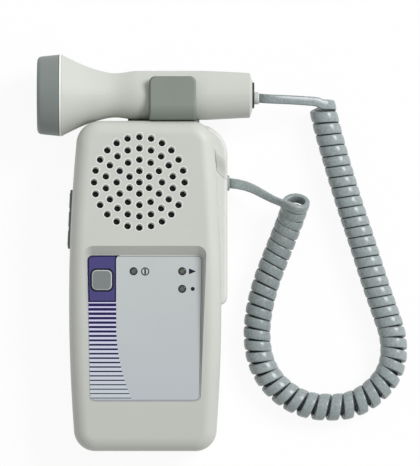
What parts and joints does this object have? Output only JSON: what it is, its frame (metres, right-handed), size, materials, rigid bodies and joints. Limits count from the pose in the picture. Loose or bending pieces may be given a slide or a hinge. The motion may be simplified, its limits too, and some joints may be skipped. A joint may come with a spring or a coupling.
{
  "type": "fetal doppler monitor",
  "caption": "Flat hand-held heartbeat monitor with a speaker grille, control panel and side keys, and an obstetric probe on a curly cord held in a clip across its top end.",
  "frame": {"origin": "on the flat back face, under the middle of the unit's length and width", "axes": "+Y along the unit's length towards the probe, +X to the side that the cord leaves, +Z out of the front"},
  "size_m": [0.1586, 0.1679, 0.0353],
  "materials": {
    "shell_plastic": "fine spark texture, warm light grey",
    "probe_plastic": "fine texture, light grey",
    "face_plastic": "smooth satin, grey",
    "clip_plastic": "smooth satin, grey green",
    "button_plastic": "smooth satin, grey",
    "key_rubber": "matt, dark grey",
    "bezel_plastic": "matt, dark grey",
    "label_print": "printed film, cool light grey with indigo print",
    "black_plastic": "satin black",
    "collar_plastic": "clear pale grey",
    "lamp_lens": "diffused grey-green lens, unlit",
    "circuit_board": "green solder mask",
    "metal_switch": "plain",
    "steel": "zinc plated",
    "screen_cloth": "black acoustic cloth",
    "paper_cone": "black paper",
    "foam": "black foam",
    "battery_jacket": "plain dark jacket",
    "crystal_ceramic": "silvered ceramic",
    "backing_resin": "filled resin",
    "wire_jacket": "insulated wire",
    "cord_jacket": "smooth grey jacket, satin",
    "gland_rubber": "smooth grey"
  },
  "bodies": {
    "unit": {"battery": "battery_jacket", "battery_leads": "wire_jacket", "battery_snap": "black_plastic", "battery_terminals": "steel", "board_capacitors": "metal_switch", "board_chips": "black_plastic", "board_connectors": "black_plastic", "board_screws": "steel", "case_screws": "steel", "clip_screws": "steel", "cord_gland": "gland_rubber", "curly_cord": "cord_jacket", "front_label": "label_print", "front_shell": "shell_plastic", "headphone_jack": "black_plastic", "main_board": "circuit_board", "play_led": "lamp_lens", "power_led": "lamp_lens", "power_switch": "metal_switch", "probe_clip": "clip_plastic", "rear_shell": "shell_plastic", "record_led": "lamp_lens", "side_key_bezel": "bezel_plastic", "side_key_board": "circuit_board", "side_key_switches": "metal_switch", "speaker_cone": "paper_cone", "speaker_dust_screen": "screen_cloth", "speaker_frame": "steel", "speaker_gasket": "foam", "speaker_leads": "wire_jacket", "speaker_magnet": "steel", "unit_lead": "cord_jacket"},
    "probe": {"probe_shell": "probe_plastic", "probe_face": "face_plastic", "transmit_crystal": "crystal_ceramic", "receive_crystal": "crystal_ceramic", "crystal_backing": "backing_resin", "probe_board": "circuit_board", "probe_end_plug": "black_plastic", "probe_cord_collar": "collar_plastic", "probe_lead": "cord_jacket"},
    "power_button": {"power_button": "button_plastic"},
    "volume_up_key": {"volume_up_key": "key_rubber"},
    "volume_down_key": {"volume_down_key": "key_rubber"},
    "record_key": {"record_key": "key_rubber"},
    "battery_door": {"battery_door": "shell_plastic"}
  },
  "joints": [
    {"name": "power_button_press", "type": "slide", "parent": "unit", "child": "power_button", "axis": [0, 0, -1], "range_m": [0, 0.0006], "stiffness_N_per_m": 2000},
    {"name": "volume_up_key_press", "type": "slide", "parent": "unit", "child": "volume_up_key", "axis": [0.9989, -0.0471, 0], "range_m": [0, 0.0006], "stiffness_N_per_m": 1500},
    {"name": "volume_down_key_press", "type": "slide", "parent": "unit", "child": "volume_down_key", "axis": [0.9989, -0.0471, 0], "range_m": [0, 0.0006], "stiffness_N_per_m": 1500},
    {"name": "record_key_press", "type": "slide", "parent": "unit", "child": "record_key", "axis": [0.9989, -0.0471, 0], "range_m": [0, 0.0006], "stiffness_N_per_m": 1500},
    {"name": "battery_door_slide", "type": "slide", "parent": "unit", "child": "battery_door", "axis": [0, -1, 0], "range_m": [0, 0.058]},
    {"name": "probe_lift", "type": "slide", "parent": "unit", "child": "probe", "axis": [0, 1, 0], "range_m": [0, 0.022]}
  ]
}
